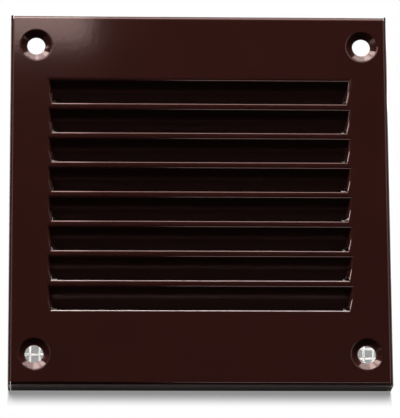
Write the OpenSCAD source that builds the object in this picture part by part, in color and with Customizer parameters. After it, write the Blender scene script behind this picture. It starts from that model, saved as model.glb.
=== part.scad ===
// Pressed steel ventilation grille, 100 mm square, with fixed inward louvres and an insect screen.
// The front face looks along -Y, +Z is up, and the rim stands on the wall plane y = 0.

/* [Plate] */
// Width and height of the plate over the folded rim
plate_size = 100; // [98:0.5:110]
// Depth of the rim from the front face to the wall
rim_depth = 8; // [7.5:0.5:12]
// Thickness of the steel sheet
sheet = 0.6; // [0.5:0.05:0.7]
// Outer radius of the rim's fold
fold_r = 1; // [0.9:0.1:1.5]
// Open seam between two neighbouring flanges at each corner
corner_seam = 0.2; // [0.2:0.1:0.8]

/* [Louvres] */
// Number of louvres
louvre_count = 8; // [4:1:8]
// Distance from one louvre to the next
louvre_pitch = 8; // [8:0.1:8.4]
// Length of a louvre along its bend
louvre_length = 80.8; // [60:0.2:81]
// Height of a louvre from its cut edge to the start of its bend
louvre_height = 7.1; // [6.6:0.1:7.3]
// Outer radius of the bend along the top of a louvre
louvre_bend_r = 2; // [1.5:0.1:2.2]
// Angle between the blade and the plate
blade_angle = 40; // [34:1:42]
// Height of the blade's free lip above the cut edge
lip_rise = 0.9; // [0.9:0.1:2]
// How far each end leans in from the bend to the cut edge
end_lean = 0.7; // [0.5:0.1:1.5]
// Angle of the pressed end walls to the plate's normal
end_draft = 18; // [12:1:24]
// Radius where the plate turns into an end wall
end_bend_r = 0.8; // [0.8:0.1:1.2]
// Radius that pressing leaves on the front of the cut edge
cut_edge_r = 0.45; // [0.3:0.05:0.5]
// Height above the cut edge up to which the end walls are cut free
end_cut = 1.4; // [1.2:0.1:2]
// Height above the cut edge up to which the rounded edge of the plate runs up each end
edge_rise = 3; // [2.5:0.1:3.4]
// Angle at which that edge leans out
cut_lean = 12; // [10:1:20]
// Height of the middle of the louvre field above the plate's centre
louvre_shift = 1.4; // [0:0.1:2]

/* [Screw holes] */
// Distance between the holes across the plate
hole_spacing_x = 86.5; // [84:0.5:88]
// Distance between the holes up the plate
hole_spacing_z = 83.5; // [82:0.5:86]
// Diameter of a screw hole
hole_d = 4.8; // [4:0.1:5]
// Depth of the pressed seat round a hole
seat_depth = 1; // [0.8:0.1:1.2]
// Angle of the seat's cone to the plate
seat_angle = 31; // [31:1:40]
// Radius of the rim of a seat
seat_rim_r = 1.4; // [1:0.1:1.6]

/* [Insect screen] */
// Distance between two strands of the net
net_pitch = 2.49; // [2.2:0.01:2.52]
// Diameter of a strand
strand_d = 0.6; // [0.5:0.02:0.64]
// Number of upright strands
upright_count = 38; // [33:1:38]
// Number of cross strands
cross_count = 34; // [30:1:34]
// Length of a strand past the last crossing
strand_tail = 0.8; // [0.4:0.1:0.9]
// Sideways place of the net's middle
net_x = -0.4; // [-0.8:0.1:0.8]
// Height of the net's middle
net_z = -5.15; // [-5.3:0.05:-4.7]
// Turn of the net out of square, as it was laid by hand
net_turn = 0.6; // [0:0.1:0.8]

/* [Glue] */
// Diameter of a glue bead where it sits on the plate
bead_d = 7; // [6:0.2:7.6]
// Diameter of a glue bead where it comes out of the net
bead_top_d = 5.6; // [4.6:0.2:6]
// Distance of the beads from the plate's middle, to either side
bead_x = 44.9; // [44.7:0.1:45.3]
// Distance of the outer beads from the plate's middle, up and down
bead_z = 31; // [26:1:33]

/* [Hidden] */
$fn = 48;

half = plate_size / 2;
front_y = -rim_depth;
over = 1;
reach = 2 * plate_size;
gap = 0.02;

// A louvre's place and its lip, as depth behind the front face and height above the cut edge
field_height = (louvre_count - 1) * louvre_pitch + louvre_height;
first_cut_z = louvre_shift + field_height / 2 - louvre_height;
blade_bend_depth = louvre_bend_r * (1 - cos(blade_angle));
blade_length = (louvre_height - louvre_bend_r * sin(blade_angle) - lip_rise) / cos(blade_angle);
lip_depth = blade_bend_depth + blade_length * sin(blade_angle);
lip_back_depth = lip_depth + sheet * cos(blade_angle);

// End walls
lean_angle = atan(end_lean / louvre_height);
end_angle = 90 - end_draft;
end_bend_depth = end_bend_r * (1 - cos(end_angle));
end_run = end_bend_r * sin(end_angle) + (lip_back_depth - end_bend_depth) / tan(end_angle);
end_foot = louvre_length / 2 - end_lean;
free_half = end_foot - end_run;

// The side of the cut ends just inside the line where the end wall begins.
cut_inset = 0.1;
cut_foot = end_foot - cut_inset + edge_rise * (tan(lean_angle) - tan(cut_lean));

// Screw seats
seat_bend_depth = seat_rim_r * (1 - cos(seat_angle));
seat_r = hole_d / 2 + (seat_depth - seat_bend_depth) / tan(seat_angle) + seat_rim_r * sin(seat_angle);
seat_back = seat_depth + sheet;

// The uprights lie against the lips of the blades, the cross strands lie behind the uprights.
upright_y = front_y + lip_back_depth + gap + strand_d / 2;
cross_y = upright_y + strand_d + gap;
upright_length = (cross_count - 1) * net_pitch + 2 * strand_tail;
cross_length = (upright_count - 1) * net_pitch + 2 * strand_tail;

// Glue beads
bead_foot = front_y + sheet;
bead_height = cross_y + strand_d / 2 - bead_foot;
bead_cap = 0.8;
bead_cap_r = (bead_top_d * bead_top_d / 4 + bead_cap * bead_cap) / (2 * bead_cap);

// Extrudes a drawing of depth and height along the plate's width.
module along_x(length) {
    rotate([90, 0, 90]) linear_extrude(height = length, center = true) children();
}

// Swaps the two axes of a drawing.
module swapped() {
    mirror([1, -1]) children();
}

// Channel open at the back, with its two front corners rounded.
module channel(width, front, back, r) {
    translate([-width / 2, front + r]) square([width, back - front - r]);
    translate([-width / 2 + r, front]) square([width - 2 * r, back - front]);
    for (s = [-1, 1])
        translate([s * (width / 2 - r), front + r]) circle(r);
}

// Block with its four front edges rounded.
module rounded_block(width, front, back, r) {
    intersection() {
        linear_extrude(height = width + over, center = true) channel(width, front, back, r);
        along_x(width + over) swapped() channel(width, front, back, r);
    }
}

// Sheet with its four sides folded back. The side flanges run the full height, and an open seam is
// left between them and the shorter flanges at the top and the bottom.
module tray() {
    difference() {
        rounded_block(plate_size, front_y, 0, fold_r);
        rounded_block(plate_size - 2 * sheet, front_y + sheet, over, fold_r - sheet);
        for (sx = [-1, 1], sz = [-1, 1])
            translate([sx * half, 0, sz * half])
                cube([2 * (sheet + corner_seam), reach, 2 * fold_r], center = true);
    }
    for (s = [-1, 1])
        linear_extrude(height = plate_size, center = true)
            intersection() {
                channel(plate_size, front_y, 0, fold_r);
                translate([s * (half - sheet / 2), 0]) square([sheet, 2 * rim_depth], center = true);
            }
}

// Drawing of what lies in front of a sheet that turns inward through an angle and runs on straight.
// The bend starts at the origin, the flat plate lies to its right, and depth counts upward.
// The drawing ends on the front skin of the sheet with back = 0, on its rear skin with back = sheet.
module before_bent_sheet(r, angle, back, length) {
    rho = r - back;
    corner = [-rho * tan(angle / 2), back];
    bend_end = [-rho * sin(angle), r - rho * cos(angle)];
    tip = bend_end + length * [-cos(angle), sin(angle)];
    polygon([[-reach, -over], [corner[0], -over], corner, tip, [-reach, tip[1]]]);
    translate([corner[0], -over]) square([-corner[0], over + back]);
    difference() {
        polygon([[0, back], corner, bend_end]);
        translate([0, r]) circle(rho);
    }
}

// Drawing, in depth and height above the cut edge, of what lies in front of a blade.
module before_blade(back, length) {
    swapped()
        translate([louvre_height, 0])
            before_bent_sheet(louvre_bend_r, blade_angle, back, length);
}

// What lies in front of the right-hand end wall of a louvre, which leans in towards the cut edge.
module before_end_wall(back) {
    translate([end_foot, 0, 0])
        rotate([0, lean_angle, 0])
            linear_extrude(height = 4 * louvre_height, center = true)
                before_bent_sheet(end_bend_r, end_angle, back, 2 * rim_depth);
}

// Keeps what lies between the two end walls of a louvre.
module between_ends(back) {
    intersection() {
        children();
        before_end_wall(back);
        mirror([1, 0, 0]) before_end_wall(back);
    }
}

// Blocks at the two foot corners of a louvre, up to a height and from the front down to a depth.
module foot_corners(height, depth) {
    for (s = [-1, 1])
        translate([s * (free_half + half), (depth - over) / 2, 0])
            cube([plate_size, depth + over, 2 * height], center = true);
}

// Solid hood of a louvre, out to the rear skin of its blade and its end walls.
module louvre_hood() {
    difference() {
        between_ends(sheet)
            along_x(plate_size)
                intersection() {
                    before_blade(sheet, blade_length);
                    translate([sheet / 2, lip_rise / 2]) square(reach);
                    translate([lip_depth, lip_rise])
                        rotate(blade_angle)
                            translate([-reach, 0]) square([2 * reach, reach]);
                }
        foot_corners(end_cut, 2 * rim_depth);
    }
}

// Drawing of what lies in front of the plate's cut edge, outward and in depth. The flat plate begins
// at the origin, and its rounding ends on the wall of the cut.
module before_cut() {
    translate([-half, -over]) square([half - cut_edge_r, over + 2 * sheet]);
    difference() {
        translate([-2 * cut_edge_r, -over]) square([2 * cut_edge_r, over + cut_edge_r]);
        translate([0, cut_edge_r]) circle(cut_edge_r);
    }
}

// Right-hand half of the opening that the cut leaves in the plate at the foot of a louvre.
module half_opening() {
    intersection() {
        along_x(plate_size)
            translate([0, -cut_edge_r]) mirror([0, 1]) swapped() before_cut();
        translate([cut_foot, 0, 0])
            rotate([0, cut_lean, 0])
                linear_extrude(height = 6 * louvre_height, center = true) before_cut();
        translate([-over, -over, -over]) cube([half, 2 * rim_depth, over + edge_rise]);
    }
}

// Space in front of a louvre's blade, open to the room.
module louvre_mouth() {
    difference() {
        between_ends(0)
            along_x(plate_size)
                intersection() {
                    before_blade(0, blade_length + over);
                    translate([-over, 0]) square(reach);
                }
        foot_corners(edge_rise, sheet);
    }
    half_opening();
    mirror([1, 0, 0]) half_opening();
}

module at_louvres() {
    for (i = [0:louvre_count - 1])
        translate([0, front_y, first_cut_z - i * louvre_pitch]) children();
}

// Body of revolution in front of a seat's skin, from one depth to another.
module before_seat(back, from, to) {
    rotate([-90, 0, 0])
        rotate_extrude()
            intersection() {
                translate([seat_r, 0])
                    before_bent_sheet(seat_rim_r, seat_angle, back, 2 * seat_r);
                translate([0, from]) square([reach, to - from]);
            }
}

module at_holes() {
    for (sx = [-1, 1], sz = [-1, 1])
        translate([sx * hole_spacing_x / 2, front_y, sz * hole_spacing_z / 2]) children();
}

module face_plate() {
    color([0.13, 0.06, 0.05])
        difference() {
            union() {
                tray();
                at_louvres() louvre_hood();
                at_holes() before_seat(sheet, sheet / 2, seat_back);
            }
            at_louvres() louvre_mouth();
            at_holes() {
                before_seat(0, -over, seat_depth);
                rotate([-90, 0, 0]) cylinder(d = hole_d, h = rim_depth);
            }
        }
}

module on_net() {
    translate([net_x, 0, net_z]) rotate([0, net_turn, 0]) children();
}

module uprights(d) {
    on_net()
        for (i = [0:upright_count - 1])
            translate([(i - (upright_count - 1) / 2) * net_pitch, upright_y, 0])
                cylinder(d = d, h = upright_length, center = true);
}

module cross_strands(d) {
    on_net()
        for (i = [0:cross_count - 1])
            translate([0, cross_y, (i - (cross_count - 1) / 2) * net_pitch])
                rotate([0, 90, 0]) cylinder(d = d, h = cross_length, center = true);
}

module screen_uprights() {
    color([0.93, 0.93, 0.9]) uprights(strand_d);
}

module screen_crosswires() {
    color([0.93, 0.93, 0.9]) cross_strands(strand_d);
}

// Bead of glue that stands on the plate and rises through the net to a low cap.
module glue_bead() {
    rotate([-90, 0, 0])
        rotate_extrude() {
            polygon([[0, 0], [bead_d / 2, 0], [bead_top_d / 2, bead_height], [0, bead_height]]);
            intersection() {
                translate([0, bead_height + bead_cap - bead_cap_r]) circle(bead_cap_r);
                translate([0, bead_height]) square(bead_cap_r);
            }
        }
}

module glue_beads() {
    color([0.85, 0.82, 0.7])
        difference() {
            for (sx = [-1, 1], row = [-1, 0, 1])
                translate([sx * bead_x, bead_foot, row * bead_z]) glue_bead();
            uprights(strand_d + gap);
            cross_strands(strand_d + gap);
        }
}

face_plate();
screen_uprights();
screen_crosswires();
glue_beads();
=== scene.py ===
from math import atan, pi, radians

import bpy
from mathutils import Matrix, Vector

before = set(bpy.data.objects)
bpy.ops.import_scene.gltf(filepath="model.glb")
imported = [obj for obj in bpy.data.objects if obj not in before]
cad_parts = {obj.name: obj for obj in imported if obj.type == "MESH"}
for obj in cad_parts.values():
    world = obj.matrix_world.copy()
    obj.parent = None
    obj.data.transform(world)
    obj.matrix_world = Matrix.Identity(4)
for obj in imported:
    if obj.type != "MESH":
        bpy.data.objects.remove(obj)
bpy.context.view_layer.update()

# Face plate. One sheet of steel, 0.6 mm thick: its rim is folded back, and its eight louvres and four
# screw seats are pressed inward. Its dark brown enamel is sprayed on from the front: it is glossy there and
# duller further back. A pale painted highlight lies on the cut edges of the lower louvres.
plate_front = -0.008
half_plate = 0.05
louvre_pitch = 0.008
top_cut_height = 0.02585
cut_edge_height = 0.0006
louvres_half_height = 0.0345


def finish(name):
    """A new material, its tree of nodes and its shader."""
    material = bpy.data.materials.new(name)
    material.use_nodes = True
    return material, material.node_tree, material.node_tree.nodes["Principled BSDF"]


def reckon(tree, operation, *values):
    """A Math node on numbers and on what other nodes give."""
    step = tree.nodes.new("ShaderNodeMath")
    step.operation = operation
    for socket, value in zip(step.inputs, values):
        if isinstance(value, bpy.types.NodeSocket):
            tree.links.new(value, socket)
        else:
            socket.default_value = value
    return step.outputs[0]


def fade(tree, value, start, end, low=0.0, high=1.0):
    """A level that goes from low to high while value goes from start to end."""
    run = tree.nodes.new("ShaderNodeMapRange")
    tree.links.new(value, run.inputs["Value"])
    for name, number in (("From Min", start), ("From Max", end), ("To Min", low), ("To Max", high)):
        run.inputs[name].default_value = number
    return run.outputs["Result"]


def apart(tree, vector):
    """The X, Y and Z of a vector."""
    parts = tree.nodes.new("ShaderNodeSeparateXYZ")
    tree.links.new(vector, parts.inputs["Vector"])
    return parts.outputs


def grain(tree, place, scale, detail):
    """Cloudy noise over the piece, from 0 to 1."""
    noise = tree.nodes.new("ShaderNodeTexNoise")
    tree.links.new(place, noise.inputs["Vector"])
    noise.inputs["Scale"].default_value = scale
    noise.inputs["Detail"].default_value = detail
    return noise.outputs["Fac"]


def shades(tree, value, stops):
    """A colour that follows value through a row of stops."""
    ramp = tree.nodes.new("ShaderNodeValToRGB")
    tree.links.new(value, ramp.inputs["Fac"])
    steps = ramp.color_ramp.elements
    while len(steps) < len(stops):
        steps.new(0.5)
    for step, (spot, colour) in zip(steps, stops):
        step.position = spot
        step.color = colour
    return ramp.outputs["Color"]


def blend(tree, factor, first, second):
    """One colour turning into another."""
    mix = tree.nodes.new("ShaderNodeMix")
    mix.data_type = "RGBA"
    tree.links.new(factor, mix.inputs["Factor"])
    for socket, colour in ((mix.inputs["A"], first), (mix.inputs["B"], second)):
        if isinstance(colour, bpy.types.NodeSocket):
            tree.links.new(colour, socket)
        else:
            socket.default_value = colour
    return mix.outputs["Result"]


def dimples(tree, height, strength, depth):
    """A surface normal with small bumps."""
    bump = tree.nodes.new("ShaderNodeBump")
    tree.links.new(height, bump.inputs["Height"])
    bump.inputs["Strength"].default_value = strength
    bump.inputs["Distance"].default_value = depth
    return bump.outputs["Normal"]


def coat(material, *pieces):
    """The finish goes on every slot of the named CAD pieces."""
    for piece in pieces:
        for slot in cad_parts[piece].material_slots:
            slot.material = material


enamel, tree, shader = finish("brown_enamel")
place = tree.nodes.new("ShaderNodeTexCoord").outputs["Object"]
where = apart(tree, place)
facing = apart(tree, tree.nodes.new("ShaderNodeNewGeometry").outputs["Normal"])

# The enamel's brown is faintly cloudy, and its skin has a fine orange peel.
brown_dark = (0.034, 0.0088, 0.0068, 1.0)
brown_light = (0.040, 0.0108, 0.0084, 1.0)
cloud_scale, cloud_detail = 60.0, 4.0
clouds = grain(tree, place, cloud_scale, cloud_detail)
tone = shades(tree, clouds, ((0.3, brown_dark), (0.7, brown_light)))
peel_scale, peel_detail, peel_strength, peel_depth = 700.0, 2.0, 0.05, 0.00005
peel = grain(tree, place, peel_scale, peel_detail)
tree.links.new(dimples(tree, peel, peel_strength, peel_depth), shader.inputs["Normal"])

# A painted highlight in the base colour makes the tops of the cut edges pale. It is strongest on the lowest
# louvre and ends half way up.
painted_edge_highlight = (0.48, 0.42, 0.40, 1.0)
wrap_height = top_cut_height + 0.0002
in_pitch = reckon(tree, "WRAP", where["Z"], wrap_height, wrap_height - louvre_pitch)
on_edge = reckon(tree, "GREATER_THAN", in_pitch, top_cut_height - cut_edge_height)
highlight_low, highlight_high = -0.035, 0.0
highlight_levels = ((0.0, 0.0), (0.06, 1.0), (0.14, 1.0), (0.367, 0.55), (0.596, 0.2), (0.824, 0.06), (1.0, 0.0))
highlight_greys = [(spot, (level, level, level, 1.0)) for spot, level in highlight_levels]
highlight_strength = shades(tree, fade(tree, where["Z"], highlight_low, highlight_high), highlight_greys)
edge_top = reckon(tree, "MULTIPLY", on_edge, fade(tree, facing["Z"], 0.2, 0.7))
edge_highlight = reckon(tree, "MULTIPLY", edge_top, highlight_strength)
tree.links.new(blend(tree, edge_highlight, tone, painted_edge_highlight), shader.inputs["Base Color"])

# The gloss is lost a little way behind the front, inside the louvres and along the folded rim.
glossy_to, dull_from = plate_front + 0.0001, plate_front + 0.0035
glossy_rough, dull_rough = 0.06, 0.4
dulling = fade(tree, where["Y"], glossy_to, dull_from, glossy_rough, dull_rough)
tree.links.new(dulling, shader.inputs["Roughness"])

# Round the upper corners of the louvres the reflection is tinted nearly black: painted shade.
brown_shine = (1.0, 0.7, 0.65, 1.0)
painted_shade_tint = (0.03, 0.02, 0.02, 1.0)
shade_starts, shade_full, shade_ends = 0.0360, 0.0370, 0.0410
shade_low, shade_high = top_cut_height - 0.0058, top_cut_height - 0.0046
across = reckon(tree, "ABSOLUTE", where["X"])
shaded_corners = reckon(tree, "LESS_THAN", across, shade_ends)
at_louvre_ends = fade(tree, across, shade_starts, shade_full)
turned_in = fade(tree, reckon(tree, "ABSOLUTE", facing["X"]), 0.05, 0.20)
upper_part = fade(tree, in_pitch, shade_low, shade_high)
in_louvres = reckon(tree, "LESS_THAN", reckon(tree, "ABSOLUTE", where["Z"]), louvres_half_height)
for share in (at_louvre_ends, turned_in, upper_part, in_louvres):
    shaded_corners = reckon(tree, "MULTIPLY", shaded_corners, share)
tree.links.new(blend(tree, shaded_corners, brown_shine, painted_shade_tint), shader.inputs["Specular Tint"])
shader.inputs["IOR"].default_value = 1.5
coat(enamel, "face_plate")

# Insect net. White plastic strands, 0.6 mm thick, laid upright and across at a pitch of 2.5 mm and
# welded where they cross. The plastic is drawn, so its white varies a little along each strand.
net_plastic, tree, shader = finish("net_plastic")
place = tree.nodes.new("ShaderNodeTexCoord").outputs["Object"]
drawn_scale, drawn_detail = 350.0, 3.0
drawn = grain(tree, place, drawn_scale, drawn_detail)
off_white, clear_white = (0.74, 0.74, 0.70, 1.0), (0.86, 0.86, 0.84, 1.0)
tree.links.new(shades(tree, drawn, ((0.25, off_white), (0.75, clear_white))), shader.inputs["Base Color"])
smooth_strand, rough_strand = 0.30, 0.42
tree.links.new(fade(tree, drawn, 0.3, 0.7, smooth_strand, rough_strand), shader.inputs["Roughness"])
coat(net_plastic, "screen_uprights", "screen_crosswires")

# Glue beads. Six drops of hot-melt glue hold the edges of the net to the back of the plate. The glue
# sets cloudy and amber, with a glossy, slightly lumpy skin.
hot_melt, tree, shader = finish("hot_melt")
place = tree.nodes.new("ShaderNodeTexCoord").outputs["Object"]
lump_scale, lump_detail, lump_strength, lump_depth = 420.0, 3.0, 0.6, 0.0006
lumps = grain(tree, place, lump_scale, lump_detail)
amber, milky = (0.58, 0.49, 0.30, 1.0), (0.80, 0.75, 0.60, 1.0)
tree.links.new(shades(tree, lumps, ((0.3, amber), (0.7, milky))), shader.inputs["Base Color"])
smooth_glue, rough_glue = 0.15, 0.45
tree.links.new(fade(tree, lumps, 0.0, 1.0, smooth_glue, rough_glue), shader.inputs["Roughness"])
tree.links.new(dimples(tree, lumps, lump_strength, lump_depth), shader.inputs["Normal"])
shader.inputs["Subsurface Weight"].default_value = 0.3
shader.inputs["Subsurface Radius"].default_value = (0.004, 0.003, 0.0015)
shader.inputs["Subsurface Scale"].default_value = 0.3
coat(hot_melt, "glue_beads")

# Wall. The grille is held against a plain white wall, and a black panel behind the louvres is painted
# shade. The wall is not
# part of the object. Seen from behind it is clear, so that the back of the grille shows.
wall_reach = 3.0
wall_gap = 0.0004
shade_panel_half_width, shade_panel_half_height = 0.047, 0.036
upper_holes_from = 0.047


def clear_from_behind(tree, front):
    """The wall's own surface in front, nothing from behind and for shadows."""
    path = tree.nodes.new("ShaderNodeLightPath")
    back = tree.nodes.new("ShaderNodeNewGeometry").outputs["Backfacing"]
    hidden = reckon(tree, "MAXIMUM", back, path.outputs["Is Shadow Ray"])
    mix = tree.nodes.new("ShaderNodeMixShader")
    tree.links.new(hidden, mix.inputs["Fac"])
    tree.links.new(front, mix.inputs[1])
    tree.links.new(tree.nodes.new("ShaderNodeBsdfTransparent").outputs["BSDF"], mix.inputs[2])
    tree.links.new(mix.outputs["Shader"], tree.nodes["Material Output"].inputs["Surface"])
    return path


def matt(name, colour):
    """A matt paint."""
    material, tree, shader = finish(name)
    shader.inputs["Base Color"].default_value = colour
    shader.inputs["Roughness"].default_value = 0.9
    shader.inputs["Specular IOR Level"].default_value = 0.0
    return material, tree, shader


def wall_panel(name, x_low, x_high, z_low, z_high, material):
    """One upright rectangle of the wall."""
    bpy.ops.object.select_all(action="DESELECT")
    middle = ((x_low + x_high) / 2, wall_gap, (z_low + z_high) / 2)
    bpy.ops.mesh.primitive_plane_add(size=1.0, location=middle, rotation=(radians(90), 0, 0))
    panel = bpy.context.object
    panel.name = name
    panel.scale = (x_high - x_low, z_high - z_low, 1.0)
    bpy.ops.object.transform_apply(location=True, rotation=True, scale=True)
    panel.data.materials.append(material)


# The paint glows white to the camera. Behind the plate it shows a light grey, painted shade, and just below
# the plate a painted shadow fades into the white.
painted_white = (0.95, 0.95, 0.95, 1.0)
shaded_grey = (0.07, 0.07, 0.07, 1.0)
shaded_white = 0.27
side_blur, upper_blur = 0.0003, 0.002
shadow_starts, shadow_full = half_plate + 0.0045, half_plate + 0.0005
shine_in_gloss = 0.15
white_paint, tree, shader = matt("white_wall", painted_white)
where = apart(tree, tree.nodes.new("ShaderNodeTexCoord").outputs["Object"])
beside = fade(tree, reckon(tree, "ABSOLUTE", where["X"]), half_plate - side_blur, half_plate + side_blur)
above = fade(tree, where["Z"], upper_holes_from - upper_blur, upper_holes_from)
below = fade(tree, where["Z"], -shadow_starts, -shadow_full, 1.0, shaded_white)
below.node.interpolation_type = "SMOOTHSTEP"
white = reckon(tree, "MAXIMUM", reckon(tree, "MAXIMUM", below, beside), above)
uncovered = fade(tree, white, shaded_white, shaded_white + 0.05)
tree.links.new(blend(tree, uncovered, shaded_grey, painted_white), shader.inputs["Base Color"])
glow = tree.nodes.new("ShaderNodeMixShader")
path = clear_from_behind(tree, glow.outputs["Shader"])
seen, mirrored = path.outputs["Is Camera Ray"], path.outputs["Is Glossy Ray"]
looked_at = reckon(tree, "MULTIPLY_ADD", mirrored, shine_in_gloss, seen)
tree.links.new(reckon(tree, "MULTIPLY", white, looked_at), glow.inputs["Fac"])
tree.links.new(shader.outputs["BSDF"], glow.inputs[1])
tree.links.new(tree.nodes.new("ShaderNodeEmission").outputs["Emission"], glow.inputs[2])

# A black panel behind the louvres: painted shade.
shade_black = (0.004, 0.004, 0.004, 1.0)
black_shade_paint, tree, shader = matt("black_shade_paint", shade_black)
clear_from_behind(tree, shader.outputs["BSDF"])

wall_panel("wall_left", -wall_reach, -shade_panel_half_width, -wall_reach, wall_reach, white_paint)
wall_panel("wall_right", shade_panel_half_width, wall_reach, -wall_reach, wall_reach, white_paint)
wall_panel("wall_above", -shade_panel_half_width, shade_panel_half_width, upper_holes_from, wall_reach, white_paint)
wall_panel("wall_below", -shade_panel_half_width, shade_panel_half_width, -wall_reach, -shade_panel_half_height, white_paint)
wall_panel("shade_panel", -shade_panel_half_width, shade_panel_half_width, -shade_panel_half_height, shade_panel_half_height, black_shade_paint)

# Camera. It looks up at the grille from a little below, at the photograph's angle.
photo_width = 400
focal_px = 3123.3
swing, rise, roll = radians(-2.303), radians(14.155), radians(0.334)
turn = Matrix.Rotation(swing, 4, "Z") @ Matrix.Rotation(rise, 4, "X") @ Matrix.Rotation(roll, 4, "Y")
stand = turn @ Vector((0.000309, -0.828036, -0.000973))
camera_data = bpy.data.cameras.new("camera")
camera_data.sensor_fit = "HORIZONTAL"
camera_data.sensor_width = 36.0
camera_data.lens = camera_data.sensor_width * focal_px / photo_width
camera_data.clip_start = 0.01
camera = bpy.data.objects.new("camera", camera_data)
bpy.context.scene.collection.objects.link(camera)
camera.matrix_world = Matrix.Translation(stand) @ turn @ Matrix.Rotation(radians(90), 4, "X")
bpy.context.scene.camera = camera
bpy.context.scene.view_settings.view_transform = "Standard"


# Light. A plain room round the grille: soft lamps that light it, and windows and walls that only
# shine in the gloss. The lower right corner of the key window shows in the plate's upper left.
def softbox(name, place, aim, width, height, radiance, lights=False, shines=True):
    """A soft rectangular lamp of an even brightness, turned towards a point."""
    lamp = bpy.data.lights.new(name, "AREA")
    lamp.shape = "RECTANGLE"
    lamp.size = width
    lamp.size_y = height
    lamp.energy = radiance * width * height * pi
    box = bpy.data.objects.new(name, lamp)
    bpy.context.scene.collection.objects.link(box)
    box.location = place
    box.rotation_euler = (Vector(aim) - Vector(place)).to_track_quat("-Z", "Y").to_euler()
    box.visible_diffuse = lights
    box.visible_glossy = shines
    return lamp


middle = (0, 0, 0)
softbox("lamp", (-0.6, -0.5, 1.1), middle, 0.4, 0.4, 25.0, lights=True, shines=False)
softbox("ceiling", (0.15, -0.5, 1.15), middle, 1.2, 0.6, 9.5, lights=True, shines=False)

key_width, key_height = 0.25, 0.3
key_x, key_z = -0.0245 - key_width / 2, 0.412 + key_height / 2
softbox("key_window", (key_x, -1.2, key_z), (key_x, 0, key_z), key_width, key_height, 5.0)
softbox("long_window", (0.2, -1.2, 1.05), (0.2, 0, 1.05), 1.8, 0.9, 2.4)
softbox("ceiling_window", (0.15, -0.5, 1.08), middle, 1.2, 0.75, 6.0)
softbox("side_window", (-0.248, -0.42, 0.8), (-0.248, 0, 0), 0.444, 0.9, 6.0)
softbox("corner_window", (-0.62, -0.42, 0.8), (-0.62, 0, 0), 0.3, 0.9, 12.0)
softbox("left_window", (-2.4, -0.5, 1.233), middle, 1.0, 0.4, 30.0)
softbox("left_wall", (-0.75, -1.05, 0.15), middle, 0.7, 1.0, 1.6)
softbox("right_wall", (0.75, -1.05, 0.15), middle, 0.7, 1.0, 1.6)
softbox("low_window", (0.26, -1.2, -0.585), middle, 0.46, 0.12, 5.0)

# The lamp behind lights the back of the grille through the wall. From the grille's side the wall is
# clear to shadow rays only, so the lamp is sampled by them alone.
behind = softbox("behind", (0.75, 0.95, 0.45), middle, 1.0, 1.0, 6.5, lights=True)
behind.cycles.use_multiple_importance_sampling = False

# Two narrow lamps shine through the lower screw holes on to the net.
hole_x, hole_y, hole_z = 0.04325, plate_front + 0.001, -0.04175
lamp_distance, lit_radius, lit_level = 0.3, 0.0029, 1.2
for side in (-1, 1):
    hole = Vector((side * hole_x, hole_y, hole_z))
    spot = bpy.data.lights.new("hole_lamp", "SPOT")
    spot.energy = 4 * pi * pi * lamp_distance ** 2 * lit_level
    spot.spot_size = 2 * atan(lit_radius / lamp_distance)
    spot.spot_blend = 0.3
    spot.shadow_soft_size = 0.0
    hole_lamp = bpy.data.objects.new("hole_lamp", spot)
    bpy.context.scene.collection.objects.link(hole_lamp)
    hole_lamp.location = hole + (stand - hole).normalized() * lamp_distance
    hole_lamp.rotation_euler = (hole - hole_lamp.location).to_track_quat("-Z", "Y").to_euler()
    hole_lamp.visible_glossy = False

# The room's own dim light is a little stronger from above. The camera sees white past the wall's end.
room_colour, plain_white = (1.0, 0.95, 1.0, 1.0), (1, 1, 1, 1)
room_dim, room_bright = 0.02, 0.08
world = bpy.data.worlds.new("studio")
bpy.context.scene.world = world
world.use_nodes = True
tree = world.node_tree
room = tree.nodes["Background"]
room.inputs["Color"].default_value = room_colour
direction = apart(tree, tree.nodes.new("ShaderNodeTexCoord").outputs["Generated"])
tree.links.new(fade(tree, direction["Z"], 0.45, 0.9, room_dim, room_bright), room.inputs["Strength"])
past_wall = tree.nodes.new("ShaderNodeBackground")
past_wall.inputs["Color"].default_value = plain_white
either = tree.nodes.new("ShaderNodeMixShader")
tree.links.new(tree.nodes.new("ShaderNodeLightPath").outputs["Is Camera Ray"], either.inputs["Fac"])
tree.links.new(room.outputs["Background"], either.inputs[1])
tree.links.new(past_wall.outputs["Background"], either.inputs[2])
tree.links.new(either.outputs["Shader"], tree.nodes["World Output"].inputs["Surface"])
